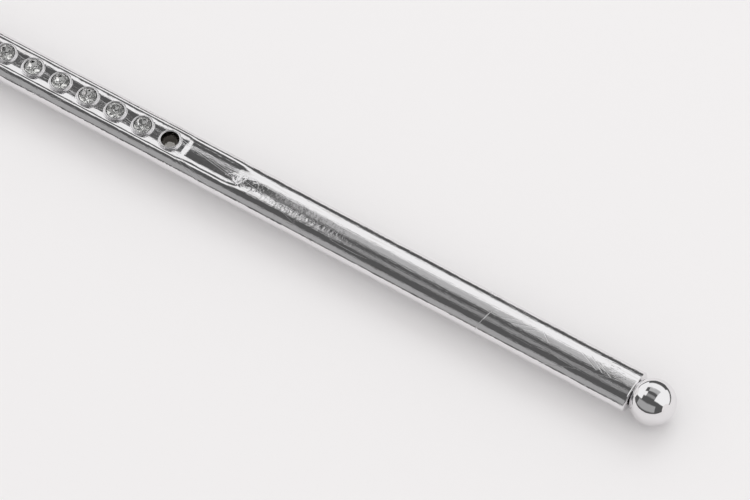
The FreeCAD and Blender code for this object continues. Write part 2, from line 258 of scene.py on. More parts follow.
def cross_section(sheet, x):
    """One whole loop round the shaft: the strip's points from back to front, then the side."""
    half = strip_half()
    across = [half - 2 * half * i / CELL_SIDE for i in range(CELL_SIDE + 1)]
    points = [shaft_point(x, y, top_height(x, y)) for y in across]
    points += [shaft_point(x, y, up) for y, up in side_profile()]
    return sheet.loop(points)


def cell_outline(centre_x):
    """Points round the oblong cell about a cup, anticlockwise from its +X, -Y corner."""
    along = Sizes.cup_pitch / 2
    across = strip_half()
    corners = [(along, -across), (along, across), (-along, across), (-along, -across)]
    outline = []
    for (x, y), (next_x, next_y) in zip(corners, corners[1:] + corners[:1]):
        for i in range(CELL_SIDE):
            share = i / CELL_SIDE
            outline.append((centre_x + x + (next_x - x) * share, y + (next_y - y) * share))
    return outline


def rim_profile():
    """Radius and height of a rim and its cup, from the channel's floor over the lip to the cup's floor."""
    s = Sizes
    lip = (s.rim_radius - s.mouth_radius) / 2
    crest = s.rim_radius - lip
    fillet = 0.1 * MM
    profile = [
        (s.rim_radius + fillet, None),
        (s.rim_radius + 0.3 * fillet, s.channel_floor + 0.6 * fillet),
        (s.rim_radius, s.channel_floor + 1.5 * fillet),
    ]
    for step in range(LIP_STEPS + 1):
        angle = math.pi * step / LIP_STEPS
        profile.append((crest + lip * math.cos(angle), s.rim_top - lip + lip * math.sin(angle)))
    taper = s.mouth_radius - s.cup_floor_radius
    for step in range(1, WALL_STEPS):
        share = step / WALL_STEPS
        profile.append((s.mouth_radius - taper * share, s.rim_top - lip - (s.cup_depth - lip) * share))
    corner = 0.25 * MM
    floor = s.rim_top - s.cup_depth
    for step in range(CORNER_STEPS + 1):
        angle = math.pi / 2 * step / CORNER_STEPS
        profile.append(
            (s.cup_floor_radius - corner * (1 - math.cos(angle)), floor + corner * (1 - math.sin(angle)))
        )
    profile += [(s.cup_floor_radius * 0.5, floor), (s.cup_floor_radius * 0.2, floor)]
    return profile


def cup_cell(sheet, centre_x):
    """An oblong of the channel with a rimmed cup in the middle of it."""
    outline = cell_outline(centre_x)
    profile = rim_profile()
    rim = profile[0][0]
    around = []
    for x, y in outline:
        away = Vector((x - centre_x, y)).normalized()
        around.append((away.x, away.y))
    loops = []
    for ring in range(CELL_RINGS + 1):
        share = ring / CELL_RINGS
        points = []
        for (x, y), (ax, ay) in zip(outline, around):
            px = x + (centre_x + ax * rim - x) * share
            py = y + (ay * rim - y) * share
            points.append(shaft_point(px, py, top_height(px, py)))
        loops.append(sheet.loop(points))
    for radius, up in profile[1:]:
        points = [Vector((centre_x + ax * radius, ay * radius, Sizes.axis_z + up)) for ax, ay in around]
        loops.append(sheet.loop(points))
    sheet.strip(loops)
    sheet.cap(loops[-1])


def foot_end(sheet, section):
    """The shaft's end: a rounded edge, a flat face and the dish and hole that take the ball's spigot."""
    s = Sizes
    rounding = FOOT_ROUNDING
    rim = [Vector(sheet.points[i]) for i in section]
    inward = [
        Vector((0, -p.y / s.half_width ** 2, (s.axis_z - p.z) / s.half_depth ** 2)).normalized() for p in rim
    ]
    loops = [section]
    for step in range(1, FOOT_STEPS + 1):
        angle = math.pi / 2 * step / FOOT_STEPS
        x = s.foot_x - rounding + rounding * math.sin(angle)
        depth = rounding * (1 - math.cos(angle))
        loops.append(sheet.loop([Vector((x, p.y, p.z)) + n * depth for p, n in zip(rim, inward)]))
    flat = [Vector(sheet.points[i]) for i in loops[-1]]
    seat = s.ball_radius + s.seat_gap
    seat_rim = math.sqrt(seat ** 2 - (s.ball_x - s.foot_x) ** 2)
    hole = s.socket_radius
    radii = [(r, s.ball_x - math.sqrt(seat ** 2 - r ** 2)) for r in (hole * 1.3, hole * 1.15, hole)]
    radii.append((hole, s.foot_x - s.socket_depth))
    directions = [Vector((0, p.y, p.z - s.axis_z)).normalized() for p in flat]
    # above and below, where the shaft is thin, the dish reaches out to the rounded edge
    dish = []
    for p, d in zip(flat, directions):
        radius = min(seat_rim, math.hypot(p.y, p.z - s.axis_z) - DISH_MARGIN)
        x = s.ball_x - math.sqrt(seat ** 2 - radius ** 2)
        dish.append(Vector((x, d.y * radius, s.axis_z + d.z * radius)))
    for share in (0.35, 0.7, 1):
        loops.append(sheet.loop([p.lerp(edge, share) for p, edge in zip(flat, dish)]))
    for radius, x in radii:
        loops.append(sheet.loop([Vector((x, d.y * radius, s.axis_z + d.z * radius)) for d in directions]))
    sheet.strip(loops)
    sheet.cap(loops[-1])


def head_end(sheet, section):
    """The shoulder at the star end and the round tenon that goes on through the collar."""
    s = Sizes
    tenon = s.tenon_radius
    rim = [Vector(sheet.points[i]) for i in section]
    directions = [Vector((0, p.y, p.z - s.axis_z)).normalized() for p in rim]
    loops = [section]
    for x in (s.head_x, s.shaft_low.x):
        loops.append(sheet.loop([Vector((x, d.y * tenon, s.axis_z + d.z * tenon)) for d in directions]))
    sheet.strip(loops)
    sheet.cap(loops[-1])


def outside_strip(loop):
    """The part of a cross section that lies outside the strip, with the strip's two edges."""
    return [*loop[CELL_SIDE:], loop[0]]


def sections(sheet, start, end, steps):
    """Cross sections evenly spaced from one place along the shaft to another."""
    return [cross_section(sheet, start + (end - start) * i / steps) for i in range(steps + 1)]


def make_shaft(material):
    """The whole shaft as one closed skin: side, channel, rims, cups and both ends."""
    s = Sizes
    sheet = Sheet()
    row_start = s.first_cup_x + s.cup_pitch / 2
    row_end = s.first_cup_x - (s.cup_count - 0.5) * s.cup_pitch

    handle_end = s.foot_x - FOOT_ROUNDING
    handle = sections(sheet, row_start, handle_end, round((handle_end - row_start) / HANDLE_STEP))
    sheet.strip(handle)
    foot_end(sheet, handle[-1])

    row_steps = CELL_SIDE * s.cup_count
    row = [outside_strip(handle[0])]
    for i in range(1, row_steps + 1):
        row.append(outside_strip(cross_section(sheet, row_start - (row_start - row_end) * i / row_steps)))
    sheet.strip(row, closed=False)
    for number in range(s.cup_count):
        cup_cell(sheet, s.first_cup_x - number * s.cup_pitch)

    neck = sections(sheet, row_end, s.head_x, NECK_STEPS)
    sheet.strip(neck)
    head_end(sheet, neck[-1])
    piece = new_piece("wand_shaft", sheet.points, sheet.faces, material)
    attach(piece, "root")
    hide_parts("shaft")
    return piece


# ---------------------------------------------------------------- ball

def lathe(name, profile, axis_point, axis, material, steps=96, hollow=False):
    """A closed turned piece from radii and distances along its axis, end to end, or all round if hollow."""
    across = axis.orthogonal().normalized()
    other = axis.cross(across)
    sheet = Sheet()
    loops = []
    for radius, along in profile:
        ring = []
        for i in range(steps):
            angle = TURN * i / steps
            out = across * math.cos(angle) + other * math.sin(angle)
            ring.append(axis_point + axis * along + out * radius)
        loops.append(sheet.loop(ring))
    if hollow:
        sheet.strip([*loops, loops[0]])
    else:
        sheet.strip(loops)
        sheet.cap(loops[0])
        sheet.cap(loops[-1])
    return new_piece(name, sheet.points, sheet.faces, material)


def make_ball(material):
    """The ball and the spigot that goes into the shaft."""
    s = Sizes
    spigot = s.spigot_radius
    reach = s.ball_low.x - s.ball_x
    lead_in = 0.6 * MM
    start = math.asin(spigot / s.ball_radius)
    steps = 72
    profile = [(spigot - lead_in, reach), (spigot, reach + lead_in)]
    for i in range(steps):
        angle = start + (math.pi - start) * i / steps
        profile.append((s.ball_radius * math.sin(angle), -s.ball_radius * math.cos(angle)))
    piece = lathe(
        "wand_ball", profile, Vector((s.ball_x, 0, s.axis_z)), Vector((1, 0, 0)), material, steps=128
    )
    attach(piece, "root")
    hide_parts("ball_finial")
    return piece


# ---------------------------------------------------------------- collar

COLLAR_RINGS = 3


def make_collar(material):
    """Three rounded rings turned in one piece, with a bore for the star's neck."""
    s = Sizes
    length = s.collar_high.x - s.collar_low.x
    radius = (s.collar_high.y - s.collar_low.y) / 2
    ring = length / COLLAR_RINGS / 2
    waist = radius - 0.75 * ring
    steps = 20
    profile = []
    for number in range(COLLAR_RINGS):
        centre = ring * (2 * number + 1)
        for i in range(steps + 1):
            angle = math.pi * i / steps
            out = radius - ring + ring * math.sin(angle)
            profile.append((max(out, waist), centre - ring * math.cos(angle)))
    bore = s.neck_radius + 0.05 * MM
    edge = 0.15 * MM
    profile = [(bore, edge), (bore + edge, 0), *profile, (bore + edge, length), (bore, length - edge)]
    start = Vector((s.collar_low.x, 0, s.axis_z))
    piece = lathe("wand_collar", profile, start, Vector((1, 0, 0)), material, hollow=True)
    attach(piece, "root")
    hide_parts("collar")


# ---------------------------------------------------------------- star

ARMS = 5
NOTCH_TURN = math.pi / ARMS


def star_outline(share):
    """The star's outline about its middle, from its first arm round, with its tips cut blunt."""
    s = Sizes
    outline = []
    for arm in range(ARMS):
        turn = math.pi + TURN / ARMS * arm
        ahead = Vector((math.cos(turn), math.sin(turn)))
        across = Vector((-ahead.y, ahead.x))
        for side in (-1, 1):
            outline.append((ahead * s.star_reach + across * side * s.star_tip_half) * share)
        notch = turn + NOTCH_TURN
        outline.append(Vector((math.cos(notch), math.sin(notch))) * s.star_inner * share)
    return outline


def star_solid(name, levels, softness, material):
    """A solid between star outlines, given as height and share of full size, with its edges rounded."""
    s = Sizes
    sheet = Sheet()
    loops = []
    for up, share in levels:
        loops.append(sheet.loop([Vector((s.star_x + p.x, p.y, up)) for p in star_outline(share)]))
    sheet.strip(loops)
    sheet.faces += [tuple(reversed(loops[0])), tuple(loops[-1])]
    piece = new_piece(name, sheet.points, sheet.faces, material, smooth=False)
    form = bmesh.new()
    form.from_mesh(piece.data)
    sharp = [edge for edge in form.edges if len(edge.link_faces) == 2 and edge.calc_face_angle() > 0.05]
    bmesh.ops.bevel(
        form, geom=sharp, offset=softness, segments=3, profile=0.5, affect="EDGES", clamp_overlap=True
    )
    form.to_mesh(piece.data)
    form.free()
    return piece


def half_neck(upper, material):
    """Half of the neck that goes from the star through the collar."""
    s = Sizes
    steps = 32
    sign = 1 if upper else -1
    sheet = Sheet()
    loops = []
    for x in (s.star_x + s.star_inner - 2 * MM, s.head_x - 0.05 * MM):
        arc = []
        for i in range(steps + 1):
            angle = math.pi * i / steps
            up = sign * s.neck_radius * math.sin(angle)
            arc.append(Vector((x, s.neck_radius * math.cos(angle), s.axis_z + up)))
        loops.append(sheet.loop(arc))
    sheet.strip(loops)
    sheet.cap(loops[0])
    sheet.cap(loops[-1])
    return new_piece("half_neck", sheet.points, sheet.faces, material)


def join(piece, *others):
    """Put other pieces' meshes into one piece."""
    form = bmesh.new()
    for part in (piece, *others):
        form.from_mesh(part.data)
    form.to_mesh(piece.data)
    form.free()
    for part in others:
        bpy.data.objects.remove(part)
    return piece


def bezel_profile(rim, mouth, floor, depth, foot):
    """Radius and height about the rim's top, up the outside, over the rounded lip and down into the cup."""
    lip = (rim - mouth) / 2
    profile = [(rim, foot)]
    for step in range(LIP_STEPS + 1):
        angle = math.pi * step / LIP_STEPS
        profile.append((rim - lip + lip * math.cos(angle), -lip + lip * math.sin(angle)))
    for step in range(1, 5):
        share = step / 4
        profile.append((mouth - (mouth - floor) * share, -lip - (depth - lip) * share))
    profile.append((floor * 0.5, -depth))
    return profile


def star_seats():
    """Places on the rims' tops of the star's small cups, from its stones."""
    seats = []
    for name in sorted(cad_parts):
        if name.startswith(("arm_", "notch_")):
            seats.append(stone_place(name) + Vector((0, 0, Sizes.stone_below_rim)))
    return seats


def cup_cutter(seats):
    """One closed mesh of the round pits that the bezels stand in."""
    s = Sizes
    pits = [(seat, s.rim_radius - 0.1 * MM, s.cup_depth + 0.15 * MM) for seat in seats]
    centre = stone_place("centre_stone") + Vector((0, 0, s.stone_below_rim))
    pits.append((centre, s.centre_rim_radius - 0.1 * MM, s.centre_cup_depth + 0.15 * MM))
    sheet = Sheet()
    above = 2 * MM
    for seat, radius, depth in pits:
        loops = []
        for up in (-depth, above):
            ring = []
            for i in range(48):
                angle = TURN * i / 48
                ring.append(seat + Vector((radius * math.cos(angle), radius * math.sin(angle), up)))
            loops.append(sheet.loop(ring))
        sheet.strip(loops)
        sheet.faces += [tuple(reversed(loops[0])), tuple(loops[-1])]
    return new_piece("cup_cutter", sheet.points, sheet.faces, None, smooth=False)


def cut_away(piece, cutter):
    """Cut one closed mesh out of another, and take the cutter away."""
    modifier = piece.modifiers.new("pits", "BOOLEAN")
    modifier.operation = "DIFFERENCE"
    modifier.solver = "EXACT"
    modifier.object = cutter
    bake(piece)
    bpy.data.objects.remove(cutter)


def bake(piece):
    """Turn a piece and its modifiers into a plain mesh."""
    view = bpy.context.evaluated_depsgraph_get()
    mesh = bpy.data.meshes.new_from_object(piece.evaluated_get(view), depsgraph=view)
    piece.modifiers.clear()
    piece.data = mesh


def make_star(material):
    """The two shells of the star, and the bezels that stand in the front one."""
    s = Sizes
    foot = 0.6 * MM
    split_gap = 0.02 * MM
    softness = 0.3 * MM
    back = star_solid(
        "star_back_shell",
        [(0, 1 - foot / s.star_inner), (foot, 1), (s.axis_z - split_gap, 1)], softness, material,
    )
    join(back, half_neck(False, material))
    front = star_solid(
        "star_front_shell",
        [(s.axis_z + split_gap, 1), (s.axis_z + s.star_edge, 1), (s.axis_z + s.star_top, s.star_top_share)],
        softness, material,
    )
    seats = star_seats()
    cut_away(front, cup_cutter(seats))
    join(front, half_neck(True, material))
    for piece, node in ((back, "star_back"), (front, "star_front")):
        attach(piece, "root")
        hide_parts(node)

    under = 0.1 * MM
    small = bezel_profile(
        s.rim_radius, s.mouth_radius, s.cup_floor_radius, s.cup_depth, -s.cup_depth - under
    )
    template = lathe("bezel", small, Vector(), Vector((0, 0, 1)), material, steps=40)
    rims = set_on_seats("star_rims", seats, template, Seating(turn=TURN / 2), material, material)
    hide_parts("star_front")
    large = bezel_profile(
        s.centre_rim_radius, s.centre_mouth_radius, s.centre_floor_radius, s.centre_cup_depth,
        -s.centre_cup_depth - under,
    )
    centre = stone_place("centre_stone") + Vector((0, 0, s.stone_below_rim))
    ring = lathe("star_centre_rim", large, centre, Vector((0, 0, 1)), material, steps=96)
    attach(ring, "root")
    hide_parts("star_front")


# ---------------------------------------------------------------- stones

TABLE_RADIUS = 0.56
CROWN_HEIGHT = 0.38
CROWN_BREAK = 0.80      # radius where the kites' sides meet
GIRDLE_HEIGHT = 0.06
PAVILION_BREAK = 0.60
CULET_HEIGHT = -0.88
GEM_SIDES = 8
STONE_TIP = 2.5         # most that a stone leans in its cup, in degrees


def stone_place(name):
    """The middle of a stone's girdle, from its box."""
    low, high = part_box(name)
    radius = (high.y - low.y) / 2
    return Vector(((low.x + high.x) / 2, (low.y + high.y) / 2, high.z - CROWN_HEIGHT * radius))


def on_ray(radius, sixteenths, up):
    angle = TURN * sixteenths / (2 * GEM_SIDES)
    return Vector((radius * math.cos(angle), radius * math.sin(angle), up))


def gem_template(radius):
    """A round brilliant about its girdle, its back facets marked as foiled."""
    half_turn = math.cos(math.pi / GEM_SIDES)
    break_up = CROWN_HEIGHT * (1 - CROWN_BREAK * half_turn) / (1 - TABLE_RADIUS)
    break_down = CULET_HEIGHT + (-GIRDLE_HEIGHT - CULET_HEIGHT) * PAVILION_BREAK * half_turn
    sheet = Sheet()
    around = range(0, 2 * GEM_SIDES, 2)
    table = sheet.loop([on_ray(TABLE_RADIUS, i, CROWN_HEIGHT) for i in around])
    breaks = sheet.loop([on_ray(CROWN_BREAK, i + 1, break_up) for i in around])
    upper = sheet.loop([on_ray(1, i, 0) for i in range(2 * GEM_SIDES)])
    lower = sheet.loop([on_ray(1, i, -GIRDLE_HEIGHT) for i in range(2 * GEM_SIDES)])
    backs = sheet.loop([on_ray(PAVILION_BREAK, i + 1, break_down) for i in around])
    culet = sheet.loop([Vector((0, 0, CULET_HEIGHT))])[0]
    sheet.faces.append(tuple(table))
    for i in range(GEM_SIDES):
        before = (i - 1) % GEM_SIDES
        after = (i + 1) % GEM_SIDES
        corner = 2 * i
        middle = 2 * i + 1
        following = (2 * i + 2) % (2 * GEM_SIDES)
        sheet.faces.append((table[i], breaks[i], table[after]))
        sheet.faces.append((table[i], breaks[before], upper[corner], breaks[i]))
        sheet.faces.append((breaks[i], upper[corner], upper[middle]))
        sheet.faces.append((breaks[i], upper[middle], upper[following]))
    sheet.bridge(upper, lower)
    first_back = len(sheet.faces)
    for i in range(GEM_SIDES):
        before = (i - 1) % GEM_SIDES
        corner = 2 * i
        middle = 2 * i + 1
        following = (2 * i + 2) % (2 * GEM_SIDES)
        sheet.faces.append((culet, backs[i], lower[corner], backs[before]))
        sheet.faces.append((backs[i], lower[middle], lower[corner]))
        sheet.faces.append((backs[i], lower[following], lower[middle]))
    points = [p * radius for p in sheet.points]
    gem = new_piece("gem", points, sheet.faces, None, smooth=False)
    foiled = gem.data.attributes.new("foiled", "BOOLEAN", "FACE")
    foiled.data.foreach_set("value", [number >= first_back for number in range(len(sheet.faces))])
    return gem


class Seating:
    """How far pieces may differ from their neighbours on their seats."""

    def __init__(self, turn=0.0, tip=0.0, seed=0):
        self.turn = turn
        self.tip = tip
        self.seed = seed


def node(tree, kind, sockets=None, **settings):
    """Add a node, give its settings, and link or fill its inputs."""
    made = tree.nodes.new(kind)
    for name, setting in settings.items():
        setattr(made, name, setting)
    for key, source in (sockets or {}).items():
        if isinstance(source, bpy.types.NodeSocket):
            tree.links.new(source, made.inputs[key])
        else:
            made.inputs[key].default_value = source
    return made


def seat_tree():
    """Geometry Nodes that set one template on every seat, each turned and tipped its own way."""
    tree = bpy.data.node_groups.new("set_on_seats", "GeometryNodeTree")
    kinds = {
        "Seats": "Geometry", "Template": "Object", "Most turn": "Float", "Most tip": "Float",
        "Seed": "Int", "Face": "Material", "Foil": "Material",
    }
    for name, kind in kinds.items():
        tree.interface.new_socket(name, in_out="INPUT", socket_type=f"NodeSocket{kind}")
    tree.interface.new_socket("Pieces", in_out="OUTPUT", socket_type="NodeSocketGeometry")
    given = node(tree, "NodeGroupInput").outputs
    tip = given["Most tip"]
    most = node(tree, "ShaderNodeCombineXYZ", {"X": tip, "Y": tip, "Z": given["Most turn"]})
    least = node(tree, "ShaderNodeVectorMath", {0: most.outputs[0], "Scale": -1.0}, operation="SCALE")
    turn = node(tree, "FunctionNodeRandomValue", {"Seed": given["Seed"]}, data_type="FLOAT_VECTOR")
    tree.links.new(least.outputs[0], turn.inputs[0])
    tree.links.new(most.outputs[0], turn.inputs[1])
    shape = node(tree, "GeometryNodeObjectInfo", {"Object": given["Template"], "As Instance": True})
    placed = node(
        tree, "GeometryNodeInstanceOnPoints", {"Points": given["Seats"], "Rotation": turn.outputs[0]}
    )
    tree.links.new(shape.outputs["Geometry"], placed.inputs["Instance"])
    real = node(tree, "GeometryNodeRealizeInstances", {0: placed.outputs[0]})
    faced = node(tree, "GeometryNodeSetMaterial", {"Geometry": real.outputs[0], "Material": given["Face"]})
    mark = node(tree, "GeometryNodeInputNamedAttribute", {"Name": "foiled"}, data_type="BOOLEAN")
    backed = node(
        tree, "GeometryNodeSetMaterial", {"Geometry": faced.outputs[0], "Material": given["Foil"]}
    )
    tree.links.new(mark.outputs["Attribute"], backed.inputs["Selection"])
    node(tree, "NodeGroupOutput", {"Pieces": backed.outputs[0]})
    return tree


def set_on_seats(name, seats, template, seating, face, foil):
    """One plain mesh of a template on every seat. The template is used up."""
    mesh = bpy.data.meshes.new(name)
    mesh.from_pydata([tuple(seat) for seat in seats], [], [])
    piece = bpy.data.objects.new(name, mesh)
    bpy.context.scene.collection.objects.link(piece)
    tree = bpy.data.node_groups.get("set_on_seats") or seat_tree()
    modifier = piece.modifiers.new("seats", "NODES")
    modifier.node_group = tree
    given = {
        "Template": template, "Most turn": seating.turn, "Most tip": seating.tip, "Seed": seating.seed,
        "Face": face, "Foil": foil,
    }
    for socket in tree.interface.items_tree:
        if socket.name in given:
            modifier[socket.identifier] = given[socket.name]
    bake(piece)
    bpy.data.objects.remove(template)
    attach(piece, "root")
    return piece


def make_stones(glass, foil, large_glass, large_foil):
    """The row on the shaft, the small stones of the star, and the large one in its middle."""
    names = sorted(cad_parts)
    row = [name for name in names if name.startswith("shaft_stone")]
    star = [name for name in names if name.startswith(("arm_", "notch_"))]
    tip = math.radians(STONE_TIP)
    for title, nodes, seed in (("shaft_stones", row, 4), ("star_stones", star, 9)):
        seats = [stone_place(name) for name in nodes]
        seating = Seating(turn=TURN / 2, tip=tip, seed=seed)
        piece = set_on_seats(title, seats, gem_template(Sizes.stone_radius), seating, glass, foil)
        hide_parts(*nodes)
    radius = (Sizes.centre_high.y - Sizes.centre_low.y) / 2
    seating = Seating(turn=TURN / 2, seed=2)
    seats = [stone_place("centre_stone")]
    piece = set_on_seats("large_stone", seats, gem_template(radius), seating, large_glass, large_foil)
    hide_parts("centre_stone")


# ---------------------------------------------------------------- materials

def new_material(name):
    material = bpy.data.materials.new(name)
    material.use_nodes = True
    tree = material.node_tree
    return material, tree, tree.nodes["Principled BSDF"]


def maths(tree, operation, *values, clamp=False):
    """One sum, from numbers and sockets."""
    sockets = dict(enumerate(values))
    return node(tree, "ShaderNodeMath", sockets, operation=operation, use_clamp=clamp).outputs[0]


def vector_maths(tree, operation, *values):
    made = node(tree, "ShaderNodeVectorMath", dict(enumerate(values)), operation=operation)
    return made.outputs["Value" if operation in ("DOT_PRODUCT", "DISTANCE", "LENGTH") else "Vector"]


def band(tree, value, low, high):
    """A soft step, from 0 at low to 1 at high."""
    made = node(tree, "ShaderNodeMapRange", {"Value": value, "From Min": low, "From Max": high})
    made.interpolation_type = "SMOOTHSTEP"
    return made.outputs[0]


def speckle(tree, place, size, detail=0.0, seed=0.0):
    """Soft noise with bumps of about a size in metres, from 0 to 1."""
    return node(
        tree, "ShaderNodeTexNoise", {"Vector": place, "W": seed, "Scale": 1 / size, "Detail": detail},
        noise_dimensions="4D",
    ).outputs["Fac"]


def new_group(name, inputs, outputs):
    """An empty shader group, with the sockets inside it that carry what it is given and what it gives."""
    tree = bpy.data.node_groups.new(name, "ShaderNodeTree")
    for title, kind in inputs.items():
        tree.interface.new_socket(title, in_out="INPUT", socket_type=f"NodeSocket{kind}")
    for title in outputs:
        tree.interface.new_socket(title, in_out="OUTPUT", socket_type="NodeSocketFloat")
    return tree, node(tree, "NodeGroupInput").outputs


def use(tree, group, output, sockets):
    """Put a group into a material, and give one of its outputs."""
    made = node(tree, "ShaderNodeGroup", node_tree=bpy.data.node_groups[group])
    for key, source in sockets.items():
        if isinstance(source, bpy.types.NodeSocket):
            tree.links.new(source, made.inputs[key])
        else:
            made.inputs[key].default_value = source
    return made.outputs[output]


def unrolled_group():
    """A point of the shaft as its place along the shaft, and its arc length round it from the top."""
    tree = bpy.data.node_groups.new("unrolled_round_shaft", "ShaderNodeTree")
    tree.interface.new_socket("Point", in_out="INPUT", socket_type="NodeSocketVector")
    tree.interface.new_socket("Place", in_out="OUTPUT", socket_type="NodeSocketVector")
    point = node(tree, "ShaderNodeSeparateXYZ", {0: node(tree, "NodeGroupInput").outputs[0]}).outputs
    up = maths(tree, "SUBTRACT", point["Z"], Sizes.axis_z)
    mean_radius = (Sizes.half_width + Sizes.half_depth) / 2
    arc = maths(tree, "MULTIPLY", maths(tree, "ARCTAN2", point["Y"], up), mean_radius)
    place = node(tree, "ShaderNodeCombineXYZ", {"X": point["X"], "Y": arc})
    node(tree, "NodeGroupOutput", {"Place": place.outputs[0]})


def orange_peel_group():
    """The low, rounded bumps that lacquer leaves under the plating."""
    tree, given = new_group("orange_peel", {"Point": "Vector", "Size": "Float"}, ["Height"])
    scaled = node(tree, "ShaderNodeVectorMath", {0: given["Point"]}, operation="SCALE")
    tree.links.new(maths(tree, "DIVIDE", 1.0, given["Size"]), scaled.inputs["Scale"])
    broad = speckle(tree, scaled.outputs[0], 1.0, detail=1.0)
    fine = speckle(tree, scaled.outputs[0], 0.37, seed=3.0)
    height = maths(tree, "ADD", broad, maths(tree, "MULTIPLY", fine, 0.3))
    node(tree, "NodeGroupOutput", {"Height": height})


def hairlines_group():
    """Long thin handling scratches that all run one way, broken up along their length."""
    tree, given = new_group(
        "hairline_scratches", {"Place": "Vector", "Turn": "Float", "Spacing": "Float"}, ["Mask"]
    )
    turning = {"Vector": given["Place"], "Angle": given["Turn"]}
    turned = node(tree, "ShaderNodeVectorRotate", turning, rotation_type="Z_AXIS")
    shares = vector_maths(tree, "MULTIPLY", turned.outputs[0], (0.05, 1.0, 1.0))
    scaled = node(tree, "ShaderNodeVectorMath", {0: shares}, operation="SCALE")
    tree.links.new(maths(tree, "DIVIDE", 1.0, given["Spacing"]), scaled.inputs["Scale"])
    wander = speckle(tree, scaled.outputs[0], 1.0)
    line = maths(tree, "ABSOLUTE", maths(tree, "SUBTRACT", wander, 0.5))
    thin = band(tree, line, 0.010, 0.002)
    kept = band(tree, speckle(tree, scaled.outputs[0], 2.3, seed=5.0), 0.60, 0.72)
    node(tree, "NodeGroupOutput", {"Mask": maths(tree, "MULTIPLY", thin, kept)})


def one_scratch_group():
    """A single scratch from one place to another."""
    tree, given = new_group(
        "one_scratch", {"Place": "Vector", "Start": "Vector", "End": "Vector", "Width": "Float"}, ["Mask"]
    )
    along = vector_maths(tree, "SUBTRACT", given["End"], given["Start"])
    away = vector_maths(tree, "SUBTRACT", given["Place"], given["Start"])
    share = maths(
        tree, "DIVIDE", vector_maths(tree, "DOT_PRODUCT", away, along),
        vector_maths(tree, "DOT_PRODUCT", along, along), clamp=True,
    )
    reached = node(tree, "ShaderNodeVectorMath", {0: along, "Scale": share}, operation="SCALE")
    off = vector_maths(tree, "DISTANCE", away, reached.outputs[0])
    node(tree, "NodeGroupOutput", {"Mask": band(tree, off, given["Width"], 0.0)})


def soft_spot_group():
    """A ragged patch about a place, 1 in its middle and 0 outside."""
    kinds = {"Place": "Vector", "Centre": "Vector", "Reach": "Vector", "Ragged": "Float"}
    tree, given = new_group("ragged_patch", kinds, ["Mask"])
    away = vector_maths(tree, "SUBTRACT", given["Place"], given["Centre"])
    share = vector_maths(tree, "LENGTH", vector_maths(tree, "DIVIDE", away, given["Reach"]))
    noise_about_0 = maths(tree, "SUBTRACT", speckle(tree, given["Place"], 0.9 * MM, 2.0), 0.5)
    ragged = maths(tree, "MULTIPLY", noise_about_0, given["Ragged"])
    node(tree, "NodeGroupOutput", {"Mask": band(tree, maths(tree, "ADD", share, ragged), 1.0, 0.55)})


def edge_wear_group():
    """Where the plating has rubbed thin along edges, by how far the surface turns within a small reach."""
    tree, given = new_group("rubbed_edges", {"Point": "Vector", "Reach": "Float"}, ["Mask"])
    rounded = node(tree, "ShaderNodeBevel", {"Radius": given["Reach"]}, samples=4)
    flat = node(tree, "ShaderNodeNewGeometry")
    turn = vector_maths(tree, "DOT_PRODUCT", rounded.outputs[0], flat.outputs["Normal"])
    edge = band(tree, turn, 0.985, 0.90)
    broken = band(tree, speckle(tree, given["Point"], 1.2 * MM, 2.0, 1.0), 0.42, 0.62)
    node(tree, "NodeGroupOutput", {"Mask": maths(tree, "MULTIPLY", edge, broken)})


def make_groups():
    for make in (unrolled_group, orange_peel_group, hairlines_group, one_scratch_group, soft_spot_group,
                 edge_wear_group):
        make()


def most_of(tree, masks):
    """The strongest of several masks."""
    strongest = masks[0]
    for mask in masks[1:]:
        strongest = maths(tree, "MAXIMUM", strongest, mask)
    return strongest


def mixed(tree, share, first, second):
    """One colour turning into another."""
    made = node(tree, "ShaderNodeMix", data_type="RGBA")
    tree.links.new(share, made.inputs["Factor"])
    for key, colour in (("A", first), ("B", second)):
        socket = next(s for s in made.inputs if s.name == key and s.type == "RGBA")
        if isinstance(colour, bpy.types.NodeSocket):
            tree.links.new(colour, socket)
        else:
            socket.default_value = (*colour, 1)
    return next(s for s in made.outputs if s.type == "RGBA")


CHROME = (0.84, 0.83, 0.84)
WORN_CHROME = (0.62, 0.58, 0.55)
CHROME_ROUGHNESS = 0.03
DRIED_GLUE = (0.95, 0.94, 0.90)
# painted shade for the wall inside the empty cup
EMPTY_CUP_SHADE = (0.16, 0.15, 0.14)


def plating(name, peel_size, peel_depth):
    """Vacuum plating: orange peel, hairline scratches, faint stains and rubbed edges."""
    material, tree, shader = new_material(name)
    shader.inputs["Metallic"].default_value = 1
    point = node(tree, "ShaderNodeTexCoord").outputs["Object"]
    lines = most_of(tree, [
        use(tree, "hairline_scratches", "Mask", {"Place": point, "Turn": turn, "Spacing": spacing * MM})
        for turn, spacing in ((0.4, 1.6), (-0.9, 2.1), (1.5, 2.6))
    ])
    wear = use(tree, "rubbed_edges", "Mask", {"Point": point, "Reach": 0.25 * MM})
    stain = band(tree, speckle(tree, point, 6 * MM, 3.0, 2.0), 0.5, 0.72)
    finish_plating(tree, shader, point, lines, wear, stain, peel_size, peel_depth)
    return material


